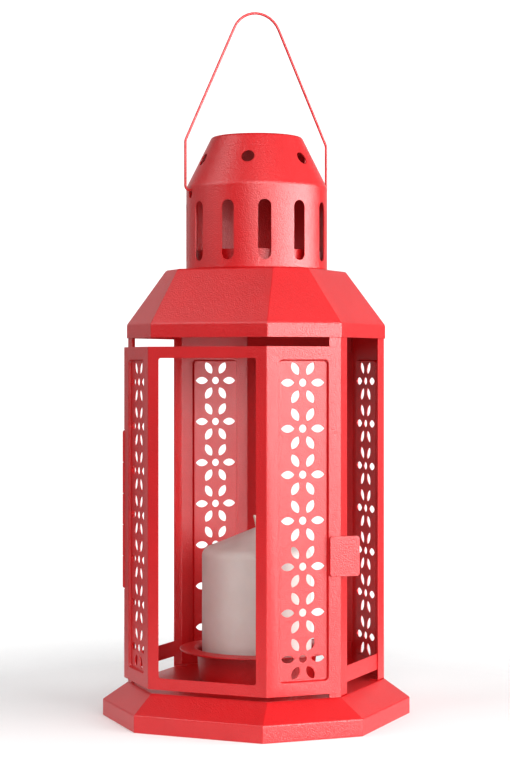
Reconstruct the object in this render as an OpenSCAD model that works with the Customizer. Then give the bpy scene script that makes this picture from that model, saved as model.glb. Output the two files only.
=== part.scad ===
// Octagonal sheet-steel candle lantern: pressed foot, four-post cage with pierced corner
// panels, three-sided hinged door, hipped roof, slotted chimney, wire bail, cup and candle.
// The foot stands on z = 0 with its centre at the origin, and the door faces -Y.

/* [Sheet] */
// Thickness of the sheet steel
sheet = 0.7; // [0.6:0.05:0.8]

/* [Foot] */
// Length of the foot's wide sides, under the windows
foot_wide = 85; // [82:1:92]
// Length of the foot's narrow sides, under the pierced panels
foot_narrow = 64.5; // [62:0.5:70]
// Height of the upright rim
rim_h = 10.4; // [8:0.2:14]
// Height of the flat deck
deck_z = 21.8; // [19:0.2:24]
// Width of the flange turned in under the rim
foot_flange = 4; // [3:0.5:6]

/* [Cage] */
// Length of the cage's wide sides
cage_wide = 77; // [76:0.5:80]
// Length of the cage's narrow sides
cage_narrow = 47.7; // [47:0.1:49]
// Width of each leg on a wide side
wide_leg = 11; // [9:0.5:13]
// Width of the one leg on a wide side that carries the hinge
hinge_leg = 8.5; // [8:0.5:11]
// Width of the front posts' legs behind the door
narrow_leg = 7.4; // [5:0.1:7.4]
// Depth of the feet turned in on the deck
foot_turn = 5; // [4:0.5:7]
// Height of the low rails above the ground
rail_z = 29; // [26:0.5:32]
// Height of each low rail
rail_h = 10; // [8:0.5:12]
// Lowest edge of the rail over the rear window
top_rail_z = 231; // [226:0.5:234]

/* [Pierced panels] */
// Plain border round each pressed recess
border = 8; // [8:0.1:9]
// Border between the door's hinged edge and its recess
hinge_border = 9.2; // [9:0.1:10]
// Depth of the recess
recess = 1.6; // [1:0.1:2]
// Wall of the recess, drawn thinner than the sheet
recess_wall = 0.4; // [0.3:0.1:0.5]
// Corner radius of the recess
recess_r = 2.6; // [2:0.1:4]
// Number of flowers in a column
flowers = 7; // [5:1:7]
// Distance from one flower to the next
flower_pitch = 27.6; // [27:0.1:28]
// Distance from a flower's centre to a petal's inner point
petal_in = 5.4; // [4.5:0.1:6]
// Distance from a flower's centre to a petal's outer point
petal_out = 14.1; // [13:0.1:14.5]
// Greatest width of a petal
petal_w = 4.8; // [4:0.1:5.2]
// Diameter of the hole at a flower's centre
eye_d = 4.9; // [4:0.1:5.5]

/* [Door] */
// Lowest edge of the door
door_z0 = 24.5; // [23:0.1:25.5]
// Highest edge of the door
door_z1 = 233.7; // [232:0.1:235]
// Length of the door's two pierced sides
door_side = 48.3; // [47.8:0.1:48.5]
// Height of the door's window frame members
stile = 7; // [6:0.2:9]
// Corner radius of the door's window
window_r = 1.4; // [1:0.1:3]
// Width of the pull tab
tab_w = 19.4; // [16:0.1:22]
// Height of the pull tab
tab_h = 24.2; // [20:0.1:30]
// Height of the pull tab's centre above the ground
tab_z = 107.1; // [90:0.1:150]
// Thickness of the folded pull tab
tab_t = 1.5; // [1.2:0.1:1.8]
// Width of the part of the tab that lies on the door
tab_lap = 7.6; // [6:0.1:7.8]

/* [Hinge] */
// Length of the hinge
hinge_len = 99; // [80:1:120]
// Height of the hinge's centre above the ground
hinge_z = 131.1; // [110:0.1:150]
// Outside diameter of the knuckles
knuckle_d = 3; // [2.8:0.1:3.1]
// Diameter of the hinge pin
pin_d = 1.5; // [1.4:0.1:1.5]

/* [Roof] */
// Height of the eave above the ground
eave_z = 239.3; // [238:0.1:241]
// Height of the upright skirt
skirt_h = 8.5; // [7:0.1:10]
// Height of the flat roof top
roof_z = 282.3; // [275:0.1:290]
// Length of the roof top's wide sides
top_wide = 64.4; // [63:0.1:67]
// Length of the roof top's narrow sides
top_narrow = 22.7; // [22:0.1:26]
// Outside diameter of the collar that locates the chimney
collar_d = 81; // [76:0.5:82]
// Height of the collar's upper edge above the ground
collar_z = 294.5; // [290:0.5:296]

/* [Chimney] */
// Diameter of the chimney
chimney_d = 89.7; // [86:0.1:90]
// Height of the shoulder, where the cone starts
shoulder_z = 334.9; // [334.9:0.1:340]
// Height of the closed top
cap_z = 367.2; // [362:0.1:375]
// Diameter of the closed top
cap_d = 57.4; // [50:0.1:65]
// Radius of the bend at the shoulder
shoulder_r = 5; // [3:0.5:7]
// Radius of the bend at the closed top
cap_r = 2.4; // [1.5:0.1:4]
// Number of upright slots
slots = 12; // [8:2:12]
// Width of a slot
slot_w = 8.2; // [6:0.1:9]
// Lowest point of the slots
slot_z0 = 287.5; // [286:0.1:292]
// Highest point of the slots
slot_z1 = 324.6; // [316:0.1:325]
// Number of round vents in the cone
vents = 6; // [4:1:8]
// Diameter of a vent
vent_d = 8.2; // [6:0.1:9]
// Height of the vents' centres
vent_z = 352; // [350:0.1:354]

/* [Bail] */
// Diameter of the wire
wire_d = 1.6; // [1.5:0.1:1.8]
// Diameter of the two holes that the wire hangs in
bail_hole_d = 5.9; // [5:0.1:6]
// Height of those holes' centres
bail_hole_z = 330.3; // [330:0.1:331]
// Distance from the axis to the upright wires
bail_x = 48.1; // [47.8:0.1:50]
// Height of the bends where the wires slant inward
kink_z = 363.7; // [360:0.1:368]
// Height of the top of the bail
bail_top = 447.3; // [440:0.1:455]
// Radius of the top of the bail, along the wire's middle
bail_r = 16.6; // [15:0.1:18]

/* [Cup and candle] */
// Outside diameter of the cup at its floor
cup_d = 73; // [72.2:0.1:74]
// Outside diameter of the cup under its rim
cup_top_d = 76.6; // [74:0.1:77]
// Diameter of the broad rim
cup_rim_d = 98; // [88:0.5:104]
// Height of the cup
cup_h = 21.5; // [18:0.1:24]
// Fall of the rim towards its outer edge
cup_rim_fall = 0.8; // [0:0.1:1.5]
// Thickness of the cup's metal
cup_t = 0.6; // [0.5:0.1:0.7]
// Diameter of the candle
candle_d = 70; // [66:0.5:70]
// Height of the candle's straight side
candle_h = 83; // [60:1:120]
// Rise of the candle's top
candle_rise = 13.6; // [8:0.1:18]
// Length of bare wick
wick_h = 8; // [5:0.5:12]
// Diameter of the wick
wick_d = 1.8; // [1.4:0.1:2.4]

/* [Hidden] */
$fn = 96;

foot_oct = [foot_wide, foot_narrow];
cage_oct = [cage_wide, cage_narrow];
eave_oct = grown(cage_oct, sheet);
top_oct = [top_wide, top_narrow];

red = [0.82, 0.13, 0.16];
cream = [0.93, 0.88, 0.82];
cut = 5;               // how far a cutter runs past the face that it cuts
running = 0.05;        // radial clearance of a turning pin
gap = 0.2;             // space between the closed door and the post that it meets
swing_gap = 0.35;      // space between turning and fixed parts of the hinge
knuckle_gap = 0.3;     // space between neighbouring knuckles
pin_head = 0.7;        // height of the pin's peened heads
pin_head_d = 2.4;      // diameter of those heads
leaf_w = 7;            // width of each hinge leaf
tab_r = 1.4;           // corner radius of the pull tab
hair = 0.02;           // overlap of two cutters that open one space
bail_turn = 45;        // the bail's holes lie on this diagonal
hook_x = 40.5;         // distance from the axis to the wire's turned-down ends
hook_drop = 4.5;       // length of those ends
bail_bend = 3;         // radius of the bend where the wire leaves its hole

door_front = wide_at(cage_oct) + 1.2;             // plane of the door's window side
door_left = narrow_at(cage_oct) + 2.2;            // plane of its hinge side, over the leaf
door_right = narrow_at(cage_oct) + gap + sheet;   // plane of its free side, over the post
door_left_x = sqrt(2) * door_front - door_left;   // folds, along the two pierced sides
door_right_x = door_right - sqrt(2) * door_front;
door_fold_l = [door_front - door_left * sqrt(2), -door_front];
door_fold_r = [door_right * sqrt(2) - door_front, -door_front];
door_plan = [
    door_fold_l + door_side * [-1, 1] / sqrt(2),
    door_fold_l,
    door_fold_r,
    door_fold_r + door_side * [1, 1] / sqrt(2)
];
hinge_at = [-wide_at(cage_oct) - 2.4, 0.5 - cage_wide / 2];
hinge_z0 = hinge_z - hinge_len / 2;
knuckle = hinge_len / 5;

slope_z = eave_z + skirt_h;                       // top of the skirt, where the roof slopes
cage_h = slope_z - 0.8 - deck_z;                  // height of the posts and panels
bail_axis_z = bail_hole_z + bail_hole_d / 2 - wire_d / 2 - running;
bail_rise = bail_top - wire_d / 2 - bail_r - kink_z;
bail_lean = atan2(bail_x, bail_rise) - asin(bail_r / norm([bail_x, bail_rise]));
bail_apex = kink_z + bail_x / tan(bail_lean);     // where the slanted sides would meet
candle_z = deck_z + cup_t;                        // the candle stands on the cup's floor

// Distance from the axis to the wide faces and to the narrow faces of an octagon
function wide_at(o) = (o[0] + o[1] * sqrt(2)) / 2;
function narrow_at(o) = (o[0] * sqrt(2) + o[1]) / 2;

// The octagon whose faces stand a distance d outside those of octagon o
function grown(o, d) = o + [1, 1] * 2 * d * tan(22.5);

// Corners of an octagon, anticlockwise from the left end of the front face
function corners(o) = let (h = wide_at(o), s = o[0] / 2) [
    [-s, -h], [s, -h], [h, -s], [h, s], [s, h], [-s, h], [-h, s], [-h, -s]
];

// Left-hand normal of a path's segment i, and the path moved a distance t to its left
function side_normal(path, i) = let (d = path[i + 1] - path[i]) [-d[1], d[0]] / norm(d);
function inside(path, t) = [
    for (i = [0 : len(path) - 1])
        let (a = side_normal(path, max(i - 1, 0)), b = side_normal(path, min(i, len(path) - 2)))
        path[i] + t * (a + b) / (1 + a * b)
];
function reversed(list) = [for (i = [len(list) - 1 : -1 : 0]) list[i]];

// Points of an arc round c, from angle a0 to angle a1
function arc(c, r, a0, a1, steps = 10) = [
    for (i = [0 : steps]) c + r * [cos(a0 + (a1 - a0) * i / steps), sin(a0 + (a1 - a0) * i / steps)]
];

// Upright sheet that follows a plan path, with its outer face on the path
module folded_sheet(path, z0, z1, t = sheet) {
    translate([0, 0, z0])
        linear_extrude(z1 - z0)
            polygon(concat(path, reversed(inside(path, t))));
}

// Octagonal frustum between two octagons
module frustum(low, z0, high, z1) {
    a = corners(low);
    b = corners(high);
    polyhedron(
        points = concat([for (p = a) [p[0], p[1], z0]], [for (p = b) [p[0], p[1], z1]]),
        faces = concat(
            [[for (i = [0 : 7]) i], [for (i = [7 : -1 : 0]) i + 8]],
            [for (i = [0 : 7]) [i, i + 8, (i + 1) % 8 + 8, (i + 1) % 8]]
        )
    );
}

module prism(o, z0, z1) {
    translate([0, 0, z0])
        linear_extrude(z1 - z0)
            polygon(corners(o));
}

// Frame of an upright face: x runs along it to the right, y goes into it, z is up
module on_face(angle, distance) {
    rotate([0, 0, angle])
        translate([0, -distance, 0])
            children();
}

// Plate in a face's frame, between depths y0 and y1, from a drawing of x and z
module plate(y0, y1) {
    translate([0, y1, 0])
        rotate([90, 0, 0])
            linear_extrude(y1 - y0)
                children();
}

// Rectangle from its low corner to its high corner with round corners
module round_rect(low, high, r) {
    size = high - low;
    translate(low + [r, 0])
        square([size[0] - 2 * r, size[1]]);
    translate(low + [0, r])
        square([size[0], size[1] - 2 * r]);
    for (x = [low[0] + r, high[0] - r], z = [low[1] + r, high[1] - r])
        translate([x, z])
            circle(r);
}

/* Foot */

module foot() {
    flat_oct = cage_oct;
    slope_drop = sheet / cos(atan2(deck_z - rim_h, wide_at(foot_oct) - wide_at(flat_oct)));
    hollow_oct = grown(foot_oct, -sheet);
    color(red) difference() {
        union() {
            prism(foot_oct, 0, rim_h);
            frustum(foot_oct, rim_h, flat_oct, deck_z);
        }
        prism(grown(foot_oct, -foot_flange), -cut, sheet);
        prism(hollow_oct, sheet, rim_h - sheet + hair);
        frustum(hollow_oct, rim_h - sheet, grown(flat_oct, -sheet / 2), deck_z - slope_drop);
    }
}

/* Cage */

// Point on the cage's outline a distance d from corner i towards corner j
function along(i, j, d) = let (c = corners(cage_oct), step = c[j] - c[i]) c[i] + d * step / norm(step);

// Foot turned in on the deck under a leg, from x0 to x1 along the wide face at an angle
module turned_foot(angle, x0, x1) {
    on_face(angle, wide_at(cage_oct))
        translate([x0, 0, deck_z])
            cube([x1 - x0, foot_turn, sheet]);
}

module post_left() {
    plan = [along(7, 6, hinge_leg), corners(cage_oct)[7], along(7, 0, narrow_leg)];
    color(red) {
        folded_sheet(plan, deck_z, deck_z + cage_h);
        turned_foot(-90, cage_wide / 2 - hinge_leg, cage_wide / 2 - 1);
    }
}

module post_right() {
    plan = [along(2, 1, narrow_leg), corners(cage_oct)[2], along(2, 3, wide_leg)];
    color(red) {
        folded_sheet(plan, deck_z, deck_z + cage_h);
        turned_foot(90, 1 - cage_wide / 2, wide_leg - cage_wide / 2);
    }
}

// Pointed petal along x
module petal() {
    half = (petal_out - petal_in) / 2;
    bow = (half * half + petal_w * petal_w / 4) / petal_w;
    translate([petal_in + half, 0])
        intersection() {
            translate([0, petal_w / 2 - bow])
                circle(bow);
            translate([0, bow - petal_w / 2])
                circle(bow);
        }
}

module flower() {
    circle(d = eye_d);
    for (turn = [0 : 60 : 300])
        rotate(turn)
            petal();
}

module flower_column(middle) {
    first = middle - flower_pitch * (flowers - 1) / 2;
    for (row = [0 : flowers - 1])
        translate([0, first + row * flower_pitch])
            flower();
}

// Presses a pierced recess into the upright sheet given as the child, in a face's frame
module pressed(half_w, z0, z1) {
    low = [-half_w, z0];
    high = [half_w, z1];
    wall = [recess_wall, recess_wall];
    difference() {
        children();
        plate(-cut, cut)
            round_rect(low, high, recess_r);
    }
    difference() {
        plate(0, recess + sheet)
            round_rect(low - wall, high + wall, recess_r + recess_wall);
        plate(-cut, recess)
            round_rect(low, high, recess_r);
        plate(-cut, cut)
            flower_column((z0 + z1) / 2);
    }
}

// Rear corner panel: a pierced narrow face with a leg folded on to the wide face each side
module rear_panel(plan, angle) {
    color(red)
        rotate([0, 0, angle])
            translate([0, -narrow_at(cage_oct), 0])
                pressed(cage_narrow / 2 - border, door_z0 + border, door_z1 - border)
                    translate([0, narrow_at(cage_oct), 0])
                        rotate([0, 0, -angle])
                            folded_sheet(plan, deck_z, deck_z + cage_h);
}

module panel_rear_left() {
    c = corners(cage_oct);
    rear_panel([along(5, 4, wide_leg), c[5], c[6], along(6, 7, wide_leg)], -135);
    color(red) {
        turned_foot(180, cage_wide / 2 - wide_leg, cage_wide / 2 - 1);
        turned_foot(-90, 1 - cage_wide / 2, wide_leg - cage_wide / 2);
    }
}

module panel_rear_right() {
    c = corners(cage_oct);
    rear_panel([along(3, 2, wide_leg), c[3], c[4], along(4, 5, wide_leg)], 135);
    color(red) {
        turned_foot(180, 1 - cage_wide / 2, wide_leg - cage_wide / 2);
        turned_foot(90, cage_wide / 2 - wide_leg, cage_wide / 2 - 1);
    }
}

// Strip across the inside of two legs on the wide face at an angle
module rail(angle, z0, z1) {
    half = cage_wide / 2 - 1.2;
    color(red)
        on_face(angle, wide_at(cage_oct) - sheet)
            translate([-half, 0, z0])
                cube([2 * half, sheet, z1 - z0]);
}

module rail_left() {
    rail(-90, rail_z, rail_z + rail_h);
}

module rail_right() {
    rail(90, rail_z, rail_z + rail_h);
}

module rail_rear() {
    rail(180, rail_z, rail_z + rail_h);
}

module rail_rear_top() {
    rail(180, top_rail_z, deck_z + cage_h);
}

/* Door */

// Recess in the door's side at an angle, from x0 to x1 along it
module door_recess(angle, distance, x0, x1) {
    middle = (x0 + x1) / 2;
    rotate([0, 0, angle])
        translate([middle, -distance, 0])
            pressed((x1 - x0) / 2, door_z0 + border, door_z1 - border)
                translate([-middle, distance, 0])
                    rotate([0, 0, -angle])
                        children();
}

module door() {
    notch_z0 = hinge_z0 - pin_head - swing_gap;
    notch_z1 = hinge_z0 + hinge_len + pin_head + swing_gap;
    color(red) difference() {
        door_recess(45, door_right, door_right_x + border, door_right_x + door_side - border)
            door_recess(-45, door_left, door_left_x - door_side + hinge_border, door_left_x - border)
                folded_sheet(door_plan, door_z0, door_z1);
        plate(-door_front - cut, cut - door_front)
            round_rect(
                [door_plan[1][0] + stile, door_z0 + stile],
                [door_plan[2][0] - stile, door_z1 - stile],
                window_r
            );
        translate([hinge_at[0], hinge_at[1], notch_z0])
            cylinder(h = notch_z1 - notch_z0, d = knuckle_d + 2 * swing_gap);
    }
}

module door_tab() {
    x0 = door_right_x + door_side - tab_lap;
    color(red)
        on_face(45, door_right)
            plate(-tab_t, 0)
                round_rect([x0, tab_z - tab_h / 2], [x0 + tab_w, tab_z + tab_h / 2], tab_r);
}

/* Hinge */

module at_hinge(z) {
    translate([hinge_at[0], hinge_at[1], z])
        children();
}

// Solid knuckle i, or with a spread the space that it turns in
module knuckle_core(i, spread = 0) {
    at_hinge(hinge_z0 + i * knuckle + knuckle_gap / 2 - min(spread, knuckle_gap))
        cylinder(h = knuckle - knuckle_gap + 2 * min(spread, knuckle_gap), d = knuckle_d + 2 * spread);
}

// Rolls knuckles round the pin on to the leaf given as the child, clear of the other leaf's
module hinge_leaf(own, others) {
    color(red) difference() {
        union() {
            difference() {
                children();
                for (i = others)
                    knuckle_core(i, swing_gap);
            }
            for (i = own)
                knuckle_core(i);
        }
        at_hinge(hinge_z0 - cut)
            cylinder(h = hinge_len + 2 * cut, d = pin_d + 2 * running);
    }
}

module hinge_leaf_frame() {
    face_x = -wide_at(cage_oct);
    web_y = hinge_at[1] + knuckle_d / 2;
    hinge_leaf([0, 2, 4], [1, 3]) {
        translate([0, 0, hinge_z0 + knuckle_gap / 2])
            linear_extrude(hinge_len - knuckle_gap) {
                translate([face_x - sheet, web_y - sheet])
                    square([sheet, leaf_w]);
                translate([hinge_at[0], web_y - sheet])
                    square([face_x - hinge_at[0], sheet]);
            }
    }
}

module hinge_leaf_door() {
    x0 = (hinge_at[0] - hinge_at[1]) / sqrt(2) + knuckle_d / 2 - sheet / 2;
    hinge_leaf([1, 3], [0, 2, 4])
        on_face(-45, door_left)
            translate([x0, sheet, hinge_z0 + knuckle + knuckle_gap / 2])
                cube([leaf_w - knuckle_d / 2, sheet, 3 * knuckle - knuckle_gap]);
}

module hinge_pin() {
    color(red) {
        at_hinge(hinge_z0 - pin_head / 2)
            cylinder(h = hinge_len + pin_head, d = pin_d);
        for (z = [hinge_z0 - pin_head, hinge_z0 + hinge_len])
            at_hinge(z)
                cylinder(h = pin_head, d = pin_head_d);
    }
}

/* Roof and chimney */

// Hollow hip roof whose top is flanged up as a collar inside the chimney
module roof() {
    fold_z = slope_z - sheet / 3;
    color(red) difference() {
        union() {
            prism(eave_oct, eave_z, slope_z);
            frustum(eave_oct, slope_z, top_oct, roof_z);
            translate([0, 0, roof_z - sheet])
                cylinder(h = collar_z - roof_z + sheet, d = collar_d);
        }
        prism(cage_oct, eave_z - cut, fold_z + hair);
        frustum(cage_oct, fold_z, grown(top_oct, -sheet / 3), roof_z - sheet);
        translate([0, 0, roof_z - cut])
            cylinder(h = collar_z - roof_z + 2 * cut, d = collar_d - 2 * sheet);
    }
}

// Outer outline of the chimney in radius and height, from its foot to the middle of its top
function chimney_outline() =
    let (
        lean = atan2(chimney_d - cap_d, 2 * (cap_z - shoulder_z)),
        low = [chimney_d / 2 - shoulder_r, shoulder_z - shoulder_r * tan(lean / 2)],
        high = [cap_d / 2 - cap_r * tan((90 - lean) / 2), cap_z - cap_r]
    )
    concat(
        [[chimney_d / 2, roof_z]],
        arc(low, shoulder_r, 0, lean),
        arc(high, cap_r, lean, 90),
        [[0, cap_z]]
    );

module slot() {
    plate(-cut, cut) {
        translate([-slot_w / 2, slot_z0 + slot_w / 2])
            square([slot_w, slot_z1 - slot_z0 - slot_w]);
        for (z = [slot_z0 + slot_w / 2, slot_z1 - slot_w / 2])
            translate([0, z])
                circle(d = slot_w);
    }
}

// Slotted tube with a coned, closed top and a foot turned in on the roof round the collar
module chimney() {
    outline = chimney_outline();
    lean = atan2(chimney_d - cap_d, 2 * (cap_z - shoulder_z));
    vent_at = chimney_d / 2 - (vent_z - shoulder_z) * tan(lean);
    color(red) difference() {
        union() {
            rotate_extrude()
                polygon(concat(outline, reversed(inside(outline, sheet))));
            translate([0, 0, roof_z])
                cylinder(h = sheet, d = chimney_d - sheet);
        }
        translate([0, 0, roof_z - cut])
            cylinder(h = 2 * cut, d = collar_d + 2 * gap);
        for (i = [0 : slots - 1])
            on_face(i * 360 / slots, chimney_d / 2)
                slot();
        for (i = [0 : vents - 1])
            on_face(15 + i * 360 / vents, vent_at)
                translate([0, 0, vent_z])
                    rotate([90 - lean, 0, 0])
                        cylinder(h = 2 * cut, d = vent_d, center = true);
        translate([0, 0, bail_hole_z])
            rotate([90, 0, bail_turn + 90])
                cylinder(h = chimney_d + 2 * cut, d = bail_hole_d, center = true);
    }
}

/* Bail */

function heading(p, q) = atan2(q[1] - p[1], q[0] - p[0]);

// Turn of a path at point i, between -180 and 180 degrees
function turn_at(path, i) =
    let (t = heading(path[i], path[i + 1]) - heading(path[i - 1], path[i]))
    t > 180 ? t - 360 : t < -180 ? t + 360 : t;

// Stations along bend i of a flat wire path, each a point and a heading
function bend_stations(path, r, i, steps = 6) =
    let (
        turn = turn_at(path, i),
        h = heading(path[i - 1], path[i]),
        back = r * tan(abs(turn) / 2) * [cos(h), sin(h)],
        centre = path[i] - back + sign(turn) * r * [-sin(h), cos(h)]
    )
    [
        for (k = [0 : steps])
            let (a = h + turn * k / steps)
            [centre + sign(turn) * r * [sin(a), -cos(a)], a]
    ];

// Wire swept along a flat path, bent with the radius r[i] at its inner point i
module bent_wire(path, r, sides = 12) {
    last = len(path) - 1;
    stations = concat(
        [[path[0], heading(path[0], path[1])]],
        [for (i = [1 : last - 1]) each bend_stations(path, r[i], i)],
        [[path[last], heading(path[last - 1], path[last])]]
    );
    rings = len(stations);
    polyhedron(
        points = [
            for (s = stations, k = [0 : sides - 1])
                let (out = wire_d / 2 * cos(k * 360 / sides), up = wire_d / 2 * sin(k * 360 / sides))
                [s[0][0] - out * sin(s[1]), s[0][1] + out * cos(s[1]), up]
        ],
        faces = concat(
            [[for (k = [0 : sides - 1]) k]],
            [[for (k = [sides - 1 : -1 : 0]) (rings - 1) * sides + k]],
            [
                for (j = [0 : rings - 2], k = [0 : sides - 1])
                    let (a = j * sides, b = a + sides, n = (k + 1) % sides)
                    [a + k, b + k, b + n, a + n]
            ]
        )
    );
}

module bail() {
    pivot_in = hook_x + wire_d * 1.15;
    pivot_out = bail_x - bail_bend - 0.2;
    loop = [[pivot_out, bail_axis_z], [bail_x, bail_axis_z], [bail_x, kink_z]];
    color(red)
        rotate([90, 0, bail_turn]) {
            bent_wire(
                concat(loop, [[0, bail_apex]], [for (p = reversed(loop)) [-p[0], p[1]]]),
                [0, bail_bend, 2 * bail_bend, bail_r, 2 * bail_bend, bail_bend, 0]
            );
            for (side = [-1, 1]) {
                translate([side * pivot_in, bail_axis_z, 0])
                    rotate([0, side * 90, 0])
                        cylinder(h = pivot_out - pivot_in, d = wire_d);
                bent_wire(
                    [
                        [side * hook_x, bail_axis_z - hook_drop],
                        [side * hook_x, bail_axis_z],
                        [side * pivot_in, bail_axis_z]
                    ],
                    [0, wire_d, 0]
                );
            }
        }
}

/* Cup and candle */

module candle_cup() {
    floor_r = 3;
    lip_r = 2;
    rim_z = deck_z + cup_h - cup_t;
    outline = concat(
        [[0, deck_z]],
        arc([cup_d / 2 - floor_r, deck_z + floor_r], floor_r, -90, -5),
        arc([cup_top_d / 2 + lip_r, rim_z - lip_r], lip_r, 175, 95),
        [[cup_rim_d / 2, rim_z - cup_rim_fall]]
    );
    color(red)
        rotate_extrude()
            polygon(concat(outline, reversed(inside(outline, cup_t))));
}

module candle_wax() {
    lean = atan2(candle_rise, candle_d / 2);
    round_r = 6;
    edge = 2;
    side_z = candle_z + candle_h;
    color(cream)
        rotate_extrude()
            polygon(concat(
                [
                    [wick_d / 2, candle_z],
                    [candle_d / 2 - edge, candle_z],
                    [candle_d / 2, candle_z + edge]
                ],
                arc([candle_d / 2 - round_r, side_z - round_r * tan((90 - lean) / 2)], round_r, 0, 90 - lean),
                [[wick_d / 2, side_z + candle_rise]]
            ));
}

module candle_wick() {
    color([0.85, 0.8, 0.72])
        translate([0, 0, candle_z])
            cylinder(h = candle_h + candle_rise + wick_h, d = wick_d);
}

foot();
post_left();
post_right();
panel_rear_left();
panel_rear_right();
rail_left();
rail_right();
rail_rear();
rail_rear_top();
roof();
chimney();
candle_cup();
hinge_leaf_frame();
hinge_pin();
hinge_leaf_door();
door();
door_tab();
bail();
candle_wax();
candle_wick();
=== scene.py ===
import math

import bmesh
import bpy
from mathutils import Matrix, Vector, geometry, kdtree, noise


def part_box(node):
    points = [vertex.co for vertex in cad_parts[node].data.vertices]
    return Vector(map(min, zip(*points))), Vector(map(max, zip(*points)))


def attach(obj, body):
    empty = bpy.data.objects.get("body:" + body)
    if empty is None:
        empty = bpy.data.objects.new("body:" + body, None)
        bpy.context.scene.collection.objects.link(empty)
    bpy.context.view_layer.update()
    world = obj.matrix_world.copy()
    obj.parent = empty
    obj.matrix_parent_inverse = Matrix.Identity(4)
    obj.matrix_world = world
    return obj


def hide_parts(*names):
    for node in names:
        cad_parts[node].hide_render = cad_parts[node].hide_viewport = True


# Octagonal candle lantern in powder-coated sheet steel. Everything is in metres, in the frame's
# axes: +Z up and the door towards -Y. A path runs anticlockwise, so the inside is on its left.

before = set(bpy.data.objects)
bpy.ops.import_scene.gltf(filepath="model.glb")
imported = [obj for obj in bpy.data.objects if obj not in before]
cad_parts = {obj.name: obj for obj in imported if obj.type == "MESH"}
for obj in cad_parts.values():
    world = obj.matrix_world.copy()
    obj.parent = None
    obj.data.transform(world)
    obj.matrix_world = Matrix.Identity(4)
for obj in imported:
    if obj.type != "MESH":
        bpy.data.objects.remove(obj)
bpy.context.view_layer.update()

MM = 0.001
SQRT2 = math.sqrt(2)

# Sheet and its folds
SHEET = 0.7 * MM
FOLD_R = 1.3 * MM          # outer radius of an upright fold
HIP_R = 1.1 * MM           # radius of the foot's and the roof's corners
EDGE = 0.12 * MM           # rounding of a cut edge
SETTLE = 0.06 * MM         # an extra line this far past each bend keeps the flats' shading flat

# Pierced panels
BORDER = 8 * MM
HINGE_BORDER = 9.2 * MM    # border beside the door's hinged edge
RECESS = 1.6 * MM          # depth
RECESS_R = 2.6 * MM        # corner radius
WALL_OUT = 0.2 * MM        # the recess's wall starts this far outside its outline
WALL_IN = 0.8 * MM         # and ends this far inside it
FLOWERS = 7
FLOWER_PITCH = 27.6 * MM
PETAL_IN = 5.4 * MM
PETAL_OUT = 14.1 * MM
PETAL_W = 4.8 * MM
EYE_D = 4.9 * MM

# Cage and door
WIDE_LEG = 11 * MM
HINGE_LEG = 8.5 * MM       # the wide leg that carries the hinge
NARROW_LEG = 7.4 * MM
FOOT_TURN = 5 * MM         # feet turned in on the deck
STILE = 7 * MM
WINDOW_R = 1.4 * MM
DOOR_CORNER_R = 0.8 * MM
TAB_R = 1.8 * MM
HINGE_NOTCH = 0.95 * MM    # the door's edge is cut back this far beside the knuckles
HINGE_CLEAR = 0.35 * MM

# Foot and roof
RIM_H = 10.4 * MM
FOOT_FLANGE = 4 * MM
SKIRT_H = 8.5 * MM
TOP_WIDE = 64.4 * MM       # roof top's wide sides
TOP_NARROW = 22.7 * MM
COLLAR_R = 40.5 * MM

# Chimney
CHIMNEY_R = 44.85 * MM
CHIMNEY_FOOT_R = 40.7 * MM  # inner radius of the foot turned in on the roof
SHOULDER_Z = 334.9 * MM
SHOULDER_R = 5 * MM
CAP_R = 28.7 * MM
CAP_BEND = 2.4 * MM
SLOTS = 12
SLOT_W = 8.2 * MM
SLOT_Z = (287.5 * MM, 324.6 * MM)
VENTS = 6
VENT_D = 8.2 * MM
VENT_Z = 352 * MM
VENT_TURN = math.radians(15)
BAIL_HOLE_D = 5.9 * MM
BAIL_HOLE_Z = 330.3 * MM
BAIL_TURN = math.radians(45)

# Bail
WIRE_D = 1.6 * MM
BAIL_X = 48.1 * MM         # upright wires
HOOK_X = 40.5 * MM         # ends turned down inside the chimney
HOOK_DROP = 4.5 * MM
KINK_Z = 363.7 * MM
BAIL_ARC = 16.6 * MM

# Cup and candle
CUP_R = 36.5 * MM
CUP_TOP_R = 38.3 * MM
CUP_T = 0.6 * MM
RIM_FALL = 0.8 * MM
WAX_RISE = 13.6 * MM
WAX_SHOULDER = 6 * MM
WICK_R = 0.9 * MM


# ---------------------------------------------------------------- measures taken from the frame

def reach(node, direction):
    """How far a node's solid reaches from the origin along a direction."""
    along = Vector(direction).normalized()
    return max(along.dot(v.co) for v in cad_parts[node].data.vertices)


def low(node):
    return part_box(node)[0]


def high(node):
    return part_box(node)[1]


def octagon(wide, narrow):
    """Corners, anticlockwise from the front face's left end, of an octagon with two face distances."""
    s = SQRT2 * narrow - wide
    return [
        Vector(p)
        for p in (
            (-s, -wide), (s, -wide), (wide, -s), (wide, s),
            (s, wide), (-s, wide), (-wide, s), (-wide, -s),
        )
    ]


foot_wide, foot_narrow = reach("foot", (0, 1, 0)), reach("foot", (1, 1, 0))
cage_wide, cage_narrow = reach("panel_rear_left", (0, 1, 0)), reach("panel_rear_left", (-1, 1, 0))
eave_wide, eave_narrow = reach("roof", (0, 1, 0)), reach("roof", (1, 1, 0))
top_wide = (TOP_WIDE + TOP_NARROW * SQRT2) / 2
top_narrow = (TOP_WIDE * SQRT2 + TOP_NARROW) / 2
cage = octagon(cage_wide, cage_narrow)
deck_z = high("foot").z
roof_z = low("chimney").z
door_z0, door_z1 = low("door").z, high("door").z
recess_z = (door_z0 + BORDER, door_z1 - BORDER)


# ---------------------------------------------------------------- curves and outlines

def left_of(v):
    return Vector((-v.y, v.x))


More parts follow.
